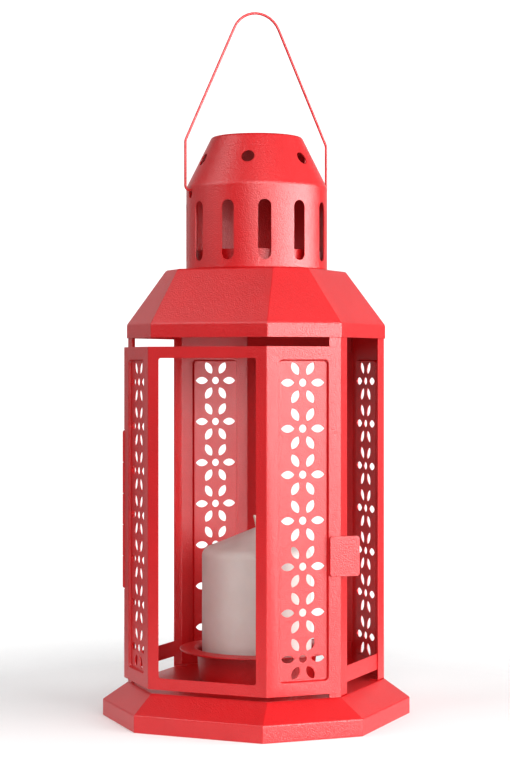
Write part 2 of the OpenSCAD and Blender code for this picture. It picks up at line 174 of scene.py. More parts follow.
class Bend:
    """A flat path with rounded inner corners: at(s) gives its point and its miter to the left.

    base[i] + x is the length along the path of the point x past sharp corner i."""

    def __init__(self, points, radii, steps=4):
        points = [Vector(p) for p in points]
        inner = len(points) - 2
        radii = radii if isinstance(radii, (list, tuple)) else [radii] * inner
        self.points = [points[0]]
        self.base = [0.0]
        ends = []
        for i in range(1, inner + 1):
            a = (points[i] - points[i - 1]).normalized()
            b = (points[i + 1] - points[i]).normalized()
            turn = math.atan2(a.cross(b), a.dot(b))
            cut = radii[i - 1] * math.tan(abs(turn) / 2)
            spoke = left_of(a) * math.copysign(radii[i - 1], turn)
            centre = points[i] - a * cut + spoke
            self.points.append(points[i] - a * (cut + SETTLE))
            for k in range(steps + 1):
                c, s = math.cos(turn * k / steps), math.sin(turn * k / steps)
                self.points.append(
                    centre - Vector((spoke.x * c - spoke.y * s, spoke.x * s + spoke.y * c))
                )
            ends.append((len(self.points) - 1, cut))
            self.points.append(points[i] + b * (cut + SETTLE))
        self.points.append(points[-1])
        self.lengths = [0.0]
        for p, q in zip(self.points, self.points[1:]):
            self.lengths.append(self.lengths[-1] + (q - p).length)
        self.base += [self.lengths[index] - cut for index, cut in ends]
        normals = [left_of((q - p).normalized()) for p, q in zip(self.points, self.points[1:])]
        before, after = [normals[0]] + normals, normals + [normals[-1]]
        self.miters = [(m + n) / (1 + m.dot(n)) for m, n in zip(before, after)]

    @property
    def length(self):
        return self.lengths[-1]

    @property
    def folds(self):
        return self.lengths[1:-1]

    def at(self, s):
        i = 0
        while i < len(self.lengths) - 2 and s > self.lengths[i + 1]:
            i += 1
        t = (s - self.lengths[i]) / (self.lengths[i + 1] - self.lengths[i])
        return (
            self.points[i].lerp(self.points[i + 1], t),
            self.miters[i].lerp(self.miters[i + 1], t),
        )


def arc(centre, radius, a0, a1, steps):
    return [
        (centre[0] + radius * math.cos(a), centre[1] + radius * math.sin(a))
        for a in (a0 + (a1 - a0) * k / steps for k in range(steps + 1))
    ]


def circle(centre, radius, steps=22):
    return arc(centre, radius, 0, 2 * math.pi, steps)[:-1]


def round_rect(x0, z0, x1, z1, r, steps=5):
    quarter = math.pi / 2
    centres = ((x1 - r, z0 + r), (x1 - r, z1 - r), (x0 + r, z1 - r), (x0 + r, z0 + r))
    return [p for i, c in enumerate(centres) for p in arc(c, r, (i - 1) * quarter, i * quarter, steps)]


def petal(centre, turn, steps=9):
    """Pointed petal between two arcs, its inner point towards the flower's centre."""
    half = (PETAL_OUT - PETAL_IN) / 2
    bow = (half * half + PETAL_W * PETAL_W / 4) / PETAL_W
    spread, up = math.asin(half / bow), math.pi / 2
    side = arc((PETAL_IN + half, PETAL_W / 2 - bow), bow, up + spread, up - spread, steps)
    shape = side[:-1] + [(x, -y) for x, y in reversed(side[1:])]
    c, s = math.cos(turn), math.sin(turn)
    return [(centre[0] + x * c - y * s, centre[1] + x * s + y * c) for x, y in shape]


def flower_column(x):
    """Outlines of one column of flowers about x, centred in the recess."""
    first = (recess_z[0] + recess_z[1] - FLOWER_PITCH * (FLOWERS - 1)) / 2
    outlines = []
    for row in range(FLOWERS):
        centre = (x, first + row * FLOWER_PITCH)
        outlines.append(circle(centre, EYE_D / 2))
        outlines += [petal(centre, math.radians(60 * k)) for k in range(6)]
    return outlines


class Recess:
    """A pressed recess from x0 to x1: how deep the sheet lies in it, and the lines it bends on."""

    STEPS = 7

    def __init__(self, x0, x1):
        self.x, self.half = (x0 + x1) / 2, (x1 - x0) / 2

    def level(self, x, z):
        """Share of the full depth at a point, from 0 on the border to 1 on the recess's floor."""
        middle, half_h = (recess_z[0] + recess_z[1]) / 2, (recess_z[1] - recess_z[0]) / 2
        dx = abs(x - self.x) - (self.half - RECESS_R)
        dz = abs(z - middle) - (half_h - RECESS_R)
        inside = RECESS_R - math.hypot(max(dx, 0), max(dz, 0)) - min(max(dx, dz), 0)
        t = min(max((inside + WALL_OUT) / (WALL_IN + WALL_OUT), 0), 1)
        return t * t * (3 - 2 * t)

    def lines(self):
        for k in range(self.STEPS + 1):
            q = (WALL_OUT + WALL_IN) * k / self.STEPS - WALL_OUT
            yield round_rect(
                self.x - self.half + q, recess_z[0] + q,
                self.x + self.half - q, recess_z[1] - q, RECESS_R - q,
            )


def inside_outline(x, y, outline):
    """Whether a closed outline runs round a point."""
    hit = False
    for (x0, y0), (x1, y1) in zip(outline, outline[1:] + outline[:1]):
        if (y0 > y) != (y1 > y) and x < x0 + (y - y0) * (x1 - x0) / (y1 - y0):
            hit = not hit
    return hit


# ---------------------------------------------------------------- meshes

SHEET_NORMAL = "sheet_normal"


def finished(name, bm, material, body, nodes, sharp=38):
    """Turns a bmesh into a smooth-shaded piece that rides on a body and stands for CAD nodes."""
    mesh = bpy.data.meshes.new(name)
    bm.to_mesh(mesh)
    bm.free()
    mesh.materials.append(material)
    mesh.shade_smooth()
    mesh.set_sharp_from_angle(angle=math.radians(sharp))
    piece = bpy.data.objects.new(name, mesh)
    bpy.context.scene.collection.objects.link(piece)
    if SHEET_NORMAL in mesh.attributes:
        shaded_true(mesh)
    else:
        flats = piece.modifiers.new("flat faces shade flat", "WEIGHTED_NORMAL")
        flats.keep_sharp = True
    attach(piece, body)
    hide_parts(*nodes)
    return piece


def mark_normals(bm, normals):
    """Notes on each vertex of a sheet's two sides the true normal there, from (point, normal) pairs."""
    tree = kdtree.KDTree(len(normals))
    for i, (point, _) in enumerate(normals):
        tree.insert(point, i)
    tree.balance()
    near, facing = 5 * EDGE, 0.96
    layer = bm.verts.layers.float_vector.new(SHEET_NORMAL)
    bm.normal_update()
    for vert in bm.verts:
        _, i, away = tree.find(vert.co)
        normal = normals[i][1]
        if away < near and any(face.normal.dot(normal) > facing for face in vert.link_faces):
            vert[layer] = normal


def shaded_true(mesh):
    """Uses the noted normals, and leaves every other corner as it is."""
    noted = mesh.attributes[SHEET_NORMAL].data
    normals = []
    for loop, corner in zip(mesh.loops, mesh.corner_normals):
        normal = noted[loop.vertex_index].vector
        normals.append(normal.copy() if normal.length > 0.5 else corner.vector.copy())
    mesh.normals_split_custom_set(normals)
    mesh.attributes.remove(mesh.attributes[SHEET_NORMAL])


def triangulated(outline, holes, loops, lines):
    """Triangles inside an outline and outside its holes that follow the given loops and lines."""
    points, edges = [], []
    for path, closed in [(p, True) for p in [outline, *holes, *loops]] + [(p, False) for p in lines]:
        start = len(points)
        points += [Vector(p) / MM for p in path]
        edges += [(start + i, start + i + 1) for i in range(len(path) - 1)]
        if closed:
            edges.append((len(points) - 1, start))
    merge = 0.02  # in millimetres, as the points are here
    made, _, faces, *_ = geometry.delaunay_2d_cdt(points, edges, [], 1, merge)
    boxes = [
        (min(x for x, _ in h), max(x for x, _ in h), min(y for _, y in h), max(y for _, y in h), h)
        for h in holes
    ]
    made = [v * MM for v in made]
    kept = []
    for face in faces:
        c = sum((made[i] for i in face), Vector((0, 0))) / len(face)
        if inside_outline(c.x, c.y, outline) and not any(
            x0 < c.x < x1 and y0 < c.y < y1 and inside_outline(c.x, c.y, h)
            for x0, x1, y0, y1, h in boxes
        ):
            a, b, d = (made[i] for i in face[:3])
            kept.append(face if (b - a).cross(d - a) > 0 else face[::-1])
    return made, kept


def rounded_rims(bm, edges, width=EDGE):
    """Rounds the sharp edges that cutting leaves."""
    bmesh.ops.bevel(
        bm, geom=edges, offset=width, offset_type="OFFSET", segments=2, profile=0.5,
        affect="EDGES", clamp_overlap=False,
    )


def shell(place, outline, holes=(), loops=(), lines=(), thickness=SHEET, period=None, cap=None):
    """Closed sheet of one thickness. place(u, v, depth) puts a point of the flat pattern in space.

    A pattern that goes right round is welded at u = period, and closed across at v = cap."""
    flat, faces = triangulated(outline, holes, loops, lines)
    tiny = 0.03 * MM
    index = list(range(len(flat)))
    if period:
        start = {round(p.y / tiny): i for i, p in enumerate(flat) if abs(p.x) < tiny}
        for i, p in enumerate(flat):
            if abs(p.x - period) < tiny:
                index[i] = start[min(start, key=lambda k: abs(k - p.y / tiny))]
    faces = [[index[i] for i in f] for f in faces]
    used = sorted({i for f in faces for i in f})
    bm = bmesh.new()
    outer = {i: bm.verts.new(place(*flat[i], 0)) for i in used}
    inner = {i: bm.verts.new(place(*flat[i], thickness)) for i in used}
    sides = {(a, b) for f in faces for a, b in zip(f, f[1:] + f[:1])}
    for f in faces:
        bm.faces.new([outer[i] for i in f])
        bm.faces.new([inner[i] for i in reversed(f)])
    rims, ring = [], {}
    for a, b in sides:
        if (b, a) in sides:
            continue
        if cap is not None and abs(flat[a].y - cap) < tiny and abs(flat[b].y - cap) < tiny:
            ring[a] = b
            continue
        bm.faces.new((outer[b], outer[a], inner[a], inner[b]))
        rims += [(outer[a], outer[b]), (inner[a], inner[b])]
    if ring:
        order = [next(iter(ring))]
        while ring[order[-1]] != order[0]:
            order.append(ring[order[-1]])
        bm.faces.new([outer[i] for i in reversed(order)])
        bm.faces.new([inner[i] for i in order])
    edges = [bm.edges.get(pair) for pair in rims]
    normals = []
    for i in used:
        out = sheet_normal(place, *flat[i])
        normals += [(outer[i].co.copy(), out), (inner[i].co.copy(), -out)]
    rounded_rims(bm, edges)
    mark_normals(bm, normals)
    return bm


def sheet_normal(place, u, v):
    """Which way the outer side of a placed sheet faces at a point of its flat pattern."""
    step = 0.008 * MM
    du = Vector(place(u + step, v, 0)) - Vector(place(u - step, v, 0))
    dv = Vector(place(u, v + step, 0)) - Vector(place(u, v - step, 0))
    return du.cross(dv).normalized()


def folded_sheet(path, z_range, recesses=(), cuts=(), outline=None, feet=()):
    """Upright sheet along a Bend. Feet, given as lengths from and to, turn in on the deck."""
    z0, z1 = z_range
    turn_r = 1.1 * MM
    tiny = 0.01 * MM

    def place(s, z, depth):
        point, inward = path.at(s)
        depth += RECESS * max((r.level(s, z) for r in recesses), default=0)
        if z < z0 + turn_r and any(a - tiny < s < b + tiny for a, b in feet):
            run = z0 + turn_r - z
            a = min(run / turn_r, math.pi / 2)
            beyond = max(run - turn_r * math.pi / 2, 0)
            out = turn_r * (1 - math.cos(a)) + beyond + depth * math.cos(a)
            up = turn_r * (1 - math.sin(a)) + depth * math.sin(a)
            return (*(point + inward * out), z0 + up)
        return (*(point + inward * depth), z)

    outline = outline or round_rect(0, z0, path.length, z1, 0.4 * MM, steps=2)
    holes = list(cuts) + [h for r in recesses for h in flower_column(r.x)]
    past = 1 * MM
    lines = [[(s, z0 - 2 * FOOT_TURN), (s, z1 + past)] for s in path.folds]
    steps = 4
    for a, b in feet:
        for k in range(steps + 1):
            z = z0 + turn_r - turn_r * math.pi / 2 * k / steps
            lines.append([(a, z), (b, z)])
    return shell(place, outline, holes, [loop for r in recesses for loop in r.lines()], lines)


def lofted(stations, closed):
    """Skin through rings of points. A station is a ring and how far from it the skin starts to bend."""
    steps = 4
    rings = []
    last = len(stations) - 1
    for j, (ring, cut) in enumerate(stations):
        if cut == 0 or (not closed and j in (0, last)):
            rings.append(ring)
            continue
        before, after = stations[j - 1][0], stations[(j + 1) % len(stations)][0]
        for k in range(steps + 1):
            t = k / steps
            row = []
            for p, a, b in zip(ring, before, after):
                start = p + (a - p).normalized() * cut
                end = p + (b - p).normalized() * cut
                row.append(start * (1 - t) ** 2 + p * 2 * t * (1 - t) + end * t * t)
            rings.append(row)
    bm = bmesh.new()
    rows = [[bm.verts.new(p) for p in ring] for ring in rings]
    for low_row, high_row in zip(rows, rows[1:] + (rows[:1] if closed else [])):
        count = len(low_row)
        for i in range(count):
            n = (i + 1) % count
            bm.faces.new((low_row[i], low_row[n], high_row[n], high_row[i]))
    if not closed:
        bm.faces.new(list(reversed(rows[0])))
        bm.faces.new(rows[-1])
    bmesh.ops.recalc_face_normals(bm, faces=bm.faces)
    return bm


SIDE_STEPS = 7     # points along each side of an octagon's ring
CORNER_STEPS = 4   # and round each of its corners


def octagon_ring(wide, narrow, z, corner=HIP_R):
    """Ring of points round an octagon with rounded corners, evenly spaced as seen from its centre."""
    corners = octagon(wide, narrow)
    cut = corner * math.tan(math.radians(22.5))
    ring = []
    for i, p in enumerate(corners):
        a = (p - corners[i - 1]).normalized()
        b = (corners[(i + 1) % 8] - p).normalized()
        centre = p - a * cut + left_of(a) * corner
        first = math.atan2(a.y, a.x) - math.pi / 2
        ring += [Vector(q) for q in arc(centre, corner, first, first + math.pi / 4, CORNER_STEPS)]
        start, end = p + b * cut, corners[(i + 1) % 8] - b * cut
        normal = -left_of(b)
        middle = math.atan2(normal.y, normal.x)
        lean0 = math.atan2(normal.cross(start), normal.dot(start))
        lean1 = math.atan2(normal.cross(end), normal.dot(end))
        for k in range(1, SIDE_STEPS):
            lean = lean0 + (lean1 - lean0) * k / SIDE_STEPS
            distance = normal.dot(p) / math.cos(lean)
            ring.append(Vector((math.cos(middle + lean), math.sin(middle + lean))) * distance)
    return [q.to_3d() + Vector((0, 0, z)) for q in ring]


def circle_ring(radius, z, like):
    """Circle whose points lie in the directions of another ring's points."""
    return [Vector((p.x, p.y, 0)).normalized() * radius + Vector((0, 0, z)) for p in like]


def revolved(outline, steps=128, wobble=None):
    """Closed solid of revolution from an open outline that starts and ends on the axis or a bore."""
    bm = bmesh.new()
    rows = []
    for i in range(steps):
        a = 2 * math.pi * i / steps
        row = []
        for r, z in outline:
            p = Vector((r * math.cos(a), r * math.sin(a), z))
            row.append(bm.verts.new(p + wobble(p) if wobble else p))
        rows.append(row)
    for left, right in zip(rows, rows[1:] + rows[:1]):
        for k in range(len(outline) - 1):
            bm.faces.new((left[k], right[k], right[k + 1], left[k + 1]))
    return bm


def closed_across(bm):
    """Fills the two end loops of a solid of revolution and turns its faces outwards."""
    bmesh.ops.holes_fill(bm, edges=[e for e in bm.edges if e.is_boundary], sides=0)
    bmesh.ops.recalc_face_normals(bm, faces=bm.faces)


def tube(points, radius, sides=16):
    """Round wire along a 3-D polyline, with domed ends."""
    bm = bmesh.new()
    count = len(points)
    tangents = []
    for i in range(count):
        a = points[i] - points[max(i - 1, 0)]
        b = points[min(i + 1, count - 1)] - points[i]
        tangents.append((a.normalized() + b.normalized()).normalized())
    side = tangents[0].orthogonal().normalized()
    rows = []

    def ring(centre, tangent, across, r):
        other = tangent.cross(across)
        return [
            bm.verts.new(centre + (across * math.cos(a) + other * math.sin(a)) * r)
            for a in (2 * math.pi * k / sides for k in range(sides))
        ]

    for i, (p, t) in enumerate(zip(points, tangents)):
        side = (side - t * side.dot(t)).normalized()
        if i == 0:
            rows += [ring(p - t * radius * math.sin(a) * 0.6, t, side, radius * math.cos(a))
                     for a in (math.radians(75), math.radians(50), math.radians(25))]
        rows.append(ring(p, t, side, radius))
        if i == count - 1:
            rows += [ring(p + t * radius * math.sin(a) * 0.6, t, side, radius * math.cos(a))
                     for a in (math.radians(25), math.radians(50), math.radians(75))]
    for a, b in zip(rows, rows[1:]):
        for k in range(sides):
            n = (k + 1) % sides
            bm.faces.new((a[k], a[n], b[n], b[k]))
    bm.faces.new(list(reversed(rows[0])))
    bm.faces.new(rows[-1])
    bmesh.ops.recalc_face_normals(bm, faces=bm.faces)
    return bm


def refined(node, width):
    """Copy of a CAD solid with its facets joined into flats and its edges rounded."""
    bm = bmesh.new()
    bm.from_mesh(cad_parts[node].data)
    bmesh.ops.remove_doubles(bm, verts=bm.verts, dist=1e-6)
    bmesh.ops.dissolve_limit(bm, angle_limit=math.radians(1), verts=bm.verts, edges=bm.edges)
    edges = [e for e in bm.edges if e.is_manifold and e.calc_face_angle() > math.radians(50)]
    rounded_rims(bm, edges, width)
    return bm


# ---------------------------------------------------------------- materials

def mottled(tree, coords, scale, detail=2.0):
    """Soft noise, scale cells to the metre."""
    texture = tree.nodes.new("ShaderNodeTexNoise")
    texture.inputs["Scale"].default_value = scale
    texture.inputs["Detail"].default_value = detail
    tree.links.new(coords, texture.inputs["Vector"])
    return texture.outputs["Fac"]


def ranged(tree, value, low_in, high_in, low_out, high_out):
    fit = tree.nodes.new("ShaderNodeMapRange")
    for name, number in (
        ("From Min", low_in), ("From Max", high_in), ("To Min", low_out), ("To Max", high_out)
    ):
        fit.inputs[name].default_value = number
    tree.links.new(value, fit.inputs["Value"])
    return fit.outputs["Result"]


def blended(tree, factor, first, second):
    mix = tree.nodes.new("ShaderNodeMix")
    mix.data_type = "RGBA"
    mix.inputs["A"].default_value = (*first, 1)
    mix.inputs["B"].default_value = (*second, 1)
    tree.links.new(factor, mix.inputs["Factor"])
    return mix.outputs["Result"]


def bumped(tree, height, distance, strength, below=None):
    bump = tree.nodes.new("ShaderNodeBump")
    bump.inputs["Distance"].default_value = distance
    bump.inputs["Strength"].default_value = strength
    tree.links.new(height, bump.inputs["Height"])
    if below:
        tree.links.new(below, bump.inputs["Normal"])
    return bump.outputs["Normal"]


def new_material(name):
    material = bpy.data.materials.new(name)
    material.use_nodes = True
    tree = material.node_tree
    shader = tree.nodes["Principled BSDF"]
    coords = tree.nodes.new("ShaderNodeTexCoord").outputs["Object"]
    return material, tree, shader, coords


def powder_coat(name, base, deep, roughness=0.33):
    """Satin powder coat: a fine orange-peel grain, with slight drift in colour and gloss."""
    material, tree, shader, coords = new_material(name)
    grain = mottled(tree, coords, 1350, detail=2.0)
    peel = mottled(tree, coords, 420, detail=2.0)
    drift = mottled(tree, coords, 34, detail=3.0)
    shade = tree.nodes.new("ShaderNodeMath")
    shade.operation = "MULTIPLY"
    tree.links.new(ranged(tree, drift, 0.35, 0.65, 0.5, 1), shade.inputs[0])
    tree.links.new(ranged(tree, grain, 0.35, 0.6, 0.5, 1), shade.inputs[1])
    tree.links.new(blended(tree, shade.outputs["Value"], deep, base), shader.inputs["Base Color"])
    tree.links.new(
        ranged(tree, grain, 0.3, 0.7, roughness - 0.05, roughness + 0.05), shader.inputs["Roughness"]
    )
    relief = bumped(tree, peel, 0.16 * MM, 0.6)
    tree.links.new(bumped(tree, grain, 0.22 * MM, 1.0, relief), shader.inputs["Normal"])
    shader.inputs["Specular IOR Level"].default_value = 1.0
    shader.inputs["IOR"].default_value = 1.52
    return material


def wax(name):
    """Pale paraffin with soft light inside it, cloudy patches and a faintly dimpled skin."""
    material, tree, shader, coords = new_material(name)
    cloud = mottled(tree, coords, 48, detail=4.0)
    dimple = mottled(tree, coords, 420, detail=2.0)
    tree.links.new(
        blended(tree, ranged(tree, cloud, 0.3, 0.7, 0, 1), (0.70, 0.65, 0.615), (0.77, 0.725, 0.69)),
        shader.inputs["Base Color"],
    )
    tree.links.new(ranged(tree, dimple, 0.3, 0.7, 0.42, 0.56), shader.inputs["Roughness"])
    relief = bumped(tree, cloud, 0.6 * MM, 0.12)
    tree.links.new(bumped(tree, dimple, 0.08 * MM, 0.3, relief), shader.inputs["Normal"])
    shader.inputs["Subsurface Weight"].default_value = 0.35
    shader.inputs["Subsurface Radius"].default_value = (1.0, 0.75, 0.6)
    shader.inputs["Subsurface Scale"].default_value = 4 * MM
    return material


def cotton(name):
    """Waxed cotton yarn: fibres along a fine twill."""
    material, tree, shader, coords = new_material(name)
    fibre = mottled(tree, coords, 5200, detail=3.0)
    tree.links.new(
        blended(tree, fibre, (0.66, 0.60, 0.50), (0.86, 0.82, 0.74)), shader.inputs["Base Color"]
    )
    tree.links.new(ranged(tree, fibre, 0.3, 0.7, 0.6, 0.8), shader.inputs["Roughness"])
    tree.links.new(bumped(tree, fibre, 0.06 * MM, 0.8), shader.inputs["Normal"])
    return material


red = powder_coat("red_powder_coat", (0.62, 0.008, 0.012), (0.50, 0.005, 0.008))
red_wire = powder_coat("red_coated_wire", (0.68, 0.009, 0.014), (0.62, 0.007, 0.012), 0.34)
red_hinge = powder_coat("red_coated_hinge", (0.66, 0.009, 0.014), (0.60, 0.007, 0.011), 0.34)
paraffin = wax("paraffin")
yarn = cotton("cotton_yarn")


# ---------------------------------------------------------------- foot and cage

def make_foot():
    inset = 3 * MM
    under = SHEET * 0.8
    stations = [
        (octagon_ring(cage_wide - inset, cage_narrow - inset, deck_z), 0),
        (octagon_ring(cage_wide, cage_narrow, deck_z), 0.9 * MM),
        (octagon_ring(foot_wide, foot_narrow, RIM_H), 0.8 * MM),
        (octagon_ring(foot_wide, foot_narrow, 0), 0.7 * MM),
        (octagon_ring(foot_wide - FOOT_FLANGE, foot_narrow - FOOT_FLANGE, 0), EDGE),
        (octagon_ring(foot_wide - FOOT_FLANGE, foot_narrow - FOOT_FLANGE, SHEET), EDGE),
        (octagon_ring(foot_wide - SHEET, foot_narrow - SHEET, SHEET), 0),
        (octagon_ring(foot_wide - SHEET, foot_narrow - SHEET, RIM_H - under / 2), 0),
        (octagon_ring(cage_wide - under / 2, cage_narrow - under / 2, deck_z - under), 0),
        (octagon_ring(cage_wide - inset, cage_narrow - inset, deck_z - under), 0),
    ]
    finished("foot_pressing", lofted(stations, False), red, "lantern", ["foot"])


def along(i, j, distance):
    """Point on the cage's outline at a distance from corner i towards corner j."""
    return cage[i] + (cage[j] - cage[i]).normalized() * distance


def leg_outline(path, z0, z1, feet):
    """Outline of a folded cage sheet with feet hanging below it, given as pairs of lengths."""
    tongue = FOOT_TURN + 0.4 * MM
    nick, slit = 0.8 * MM, 0.4 * MM
    points = [(path.length, z1), (0, z1), (0, z0)]
    for a, b in feet:
        points += [
            (a - slit, z0), (a, z0 + nick), (a, z0 - tongue),
            (b, z0 - tongue), (b, z0 + nick), (b + slit, z0),
        ]
    return points + [(path.length, z0)]


def make_cage():
    z0, z1 = low("post_left").z, high("post_left").z
    gap = 1 * MM
    side = (cage[6] - cage[5]).length
    left = Bend([along(7, 6, HINGE_LEG), cage[7], along(7, 0, NARROW_LEG)], FOLD_R)
    right = Bend([along(2, 1, NARROW_LEG), cage[2], along(2, 3, WIDE_LEG)], FOLD_R)
    posts = {
        "post_left": (left, [(gap / 2, HINGE_LEG - gap)]),
        "post_right": (right, [(right.base[1] + gap, right.length - gap / 2)]),
    }
    for node, (path, feet) in posts.items():
        bm = folded_sheet(path, (z0, z1), outline=leg_outline(path, z0, z1, feet), feet=feet)
        finished(node + "_sheet", bm, red, "lantern", [node])
    panels = {
        "panel_rear_left": [along(5, 4, WIDE_LEG), cage[5], cage[6], along(6, 7, WIDE_LEG)],
        "panel_rear_right": [along(3, 2, WIDE_LEG), cage[3], cage[4], along(4, 5, WIDE_LEG)],
    }
    for node, corners in panels.items():
        path = Bend(corners, FOLD_R)
        recess = Recess(path.base[1] + BORDER, path.base[1] + side - BORDER)
        feet = [
            (gap / 2, path.base[1] - gap),
            (path.base[2] + gap, path.length - gap / 2),
        ]
        outline = leg_outline(path, z0, z1, feet)
        bm = folded_sheet(path, (z0, z1), [recess], outline=outline, feet=feet)
        finished(node + "_sheet", bm, red, "lantern", [node])


def make_rails():
    """Flat rails inside the wide faces, which are given by their first corner."""
    faces = {"rail_right": 2, "rail_rear": 4, "rail_rear_top": 4, "rail_left": 6}
    short = 1.2 * MM
    for node, i in faces.items():
        a, b = along(i, i + 1, short), along(i + 1, i, short)
        inward = left_of((b - a).normalized()) * SHEET
        path = Bend([a + inward, b + inward], [])
        z0, z1 = low(node).z, high(node).z
        finished(node + "_strip", folded_sheet(path, (z0, z1)), red, "lantern", [node])


# ---------------------------------------------------------------- door and hinge

def make_door():
    """Door folded to three sides. Returns how far out its right panel's face lies."""
    front = -low("door").y
    left, right = reach("door", (-1, -1, 0)), reach("door", (1, -1, 0))
    fold_l = Vector((front - left * SQRT2, -front))
    fold_r = Vector((right * SQRT2 - front, -front))
    side = (fold_l.x - low("door").x) * SQRT2
    step = Vector((1, 1)) * side / SQRT2
    path = Bend([fold_l + Vector((-step.x, step.y)), fold_l, fold_r, fold_r + step], FOLD_R)
    right_x = path.base[2]
    recesses = [
        Recess(HINGE_BORDER, side - BORDER), Recess(right_x + BORDER, right_x + side - BORDER)
    ]
    window = round_rect(
        path.base[1] + STILE, door_z0 + STILE,
        path.base[1] + (fold_r - fold_l).length - STILE, door_z1 - STILE, WINDOW_R,
    )
    notch_z0 = low("hinge_pin").z - HINGE_CLEAR
    notch_z1 = high("hinge_pin").z + HINGE_CLEAR
    corners = round_rect(0, door_z0, path.length, door_z1, DOOR_CORNER_R, steps=5)
    notch = [(0, notch_z1), (HINGE_NOTCH, notch_z1), (HINGE_NOTCH, notch_z0), (0, notch_z0)]
    quarter = len(corners) // 4
    outline = corners[: 3 * quarter] + notch + corners[3 * quarter:]
    bm = folded_sheet(path, (door_z0, door_z1), recesses, [window], outline)
    finished("door_sheet", bm, red, "door", ["door"])
    return right


def make_door_tab(right):
    """Pull tab: a strip folded double, rounded at its free corners, on the door's right border."""
    direction = Vector((1, 1)).normalized()
    outward = Vector((1, -1)).normalized()
    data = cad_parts["door_tab"].data.vertices
    run = [v.co.xy.dot(direction) for v in data]
    start, end = min(run), max(run)
    thickness = max(v.co.xy.dot(outward) for v in data) - right
    a = outward * (right + thickness) + direction * start
    path = Bend([a, a + direction * (end - start)], [])
    z0, z1 = low("door_tab").z, high("door_tab").z

    def place(s, z, depth):
        point, inward = path.at(s)
        return (*(point + inward * depth), z)

    outline = round_rect(0, z0, path.length, z1, TAB_R, steps=7)
    bm = shell(place, outline, thickness=thickness)
    finished("door_tab_plate", bm, red, "door", ["door_tab"])


def make_hinge():
    finished("hinge_leaf_on_frame", refined("hinge_leaf_frame", 0.1 * MM), red_hinge, "lantern",
             ["hinge_leaf_frame"], sharp=32)
    finished("hinge_leaf_on_door", refined("hinge_leaf_door", 0.1 * MM), red_hinge, "door",
             ["hinge_leaf_door"], sharp=32)
    lo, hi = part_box("hinge_pin")
    centre = (lo + hi) / 2
    head_r, head_h, pin_r = (hi.x - lo.x) / 2, 0.7 * MM, 0.75 * MM
    dome = [
        (head_r * math.cos(a), head_h * math.sin(a))
        for a in (math.radians(d) for d in (0, 25, 50, 75, 88))
    ]
    outline = (
        [(r, lo.z + head_h - h) for r, h in reversed(dome)]
        + [(pin_r, lo.z + head_h), (pin_r, hi.z - head_h)]
        + [(r, hi.z - head_h + h) for r, h in dome]
    )
    bm = revolved(outline, 32)
    closed_across(bm)
    bmesh.ops.translate(bm, verts=bm.verts, vec=(centre.x, centre.y, 0))
    finished("hinge_pin_peened", bm, red_hinge, "lantern", ["hinge_pin"])


# ---------------------------------------------------------------- roof, chimney and bail

def make_roof():
    eave_z, collar_z = low("roof").z, high("roof").z
    fold_z = eave_z + SKIRT_H
    drop = SHEET / 3
    top = octagon_ring(top_wide, top_narrow, roof_z)
    inner_top = octagon_ring(top_wide - drop, top_narrow - drop, roof_z - SHEET)
    inner_r = COLLAR_R - SHEET
    stations = [
        (circle_ring(COLLAR_R, collar_z, top), EDGE),
        (circle_ring(COLLAR_R, roof_z, top), 0.8 * MM),
        (top, 1.4 * MM),
        (octagon_ring(eave_wide, eave_narrow, fold_z), 0.9 * MM),
        (octagon_ring(eave_wide, eave_narrow, eave_z), EDGE),
        (octagon_ring(cage_wide, cage_narrow, eave_z), EDGE),
        (octagon_ring(cage_wide, cage_narrow, fold_z - drop), 0.5 * MM),
        (inner_top, 0.9 * MM),
        (circle_ring(inner_r, roof_z - SHEET, top), 0.4 * MM),
        (circle_ring(inner_r, collar_z, top), EDGE),
    ]
    finished("roof_pressing", lofted(stations, True), red, "lantern", ["roof"])


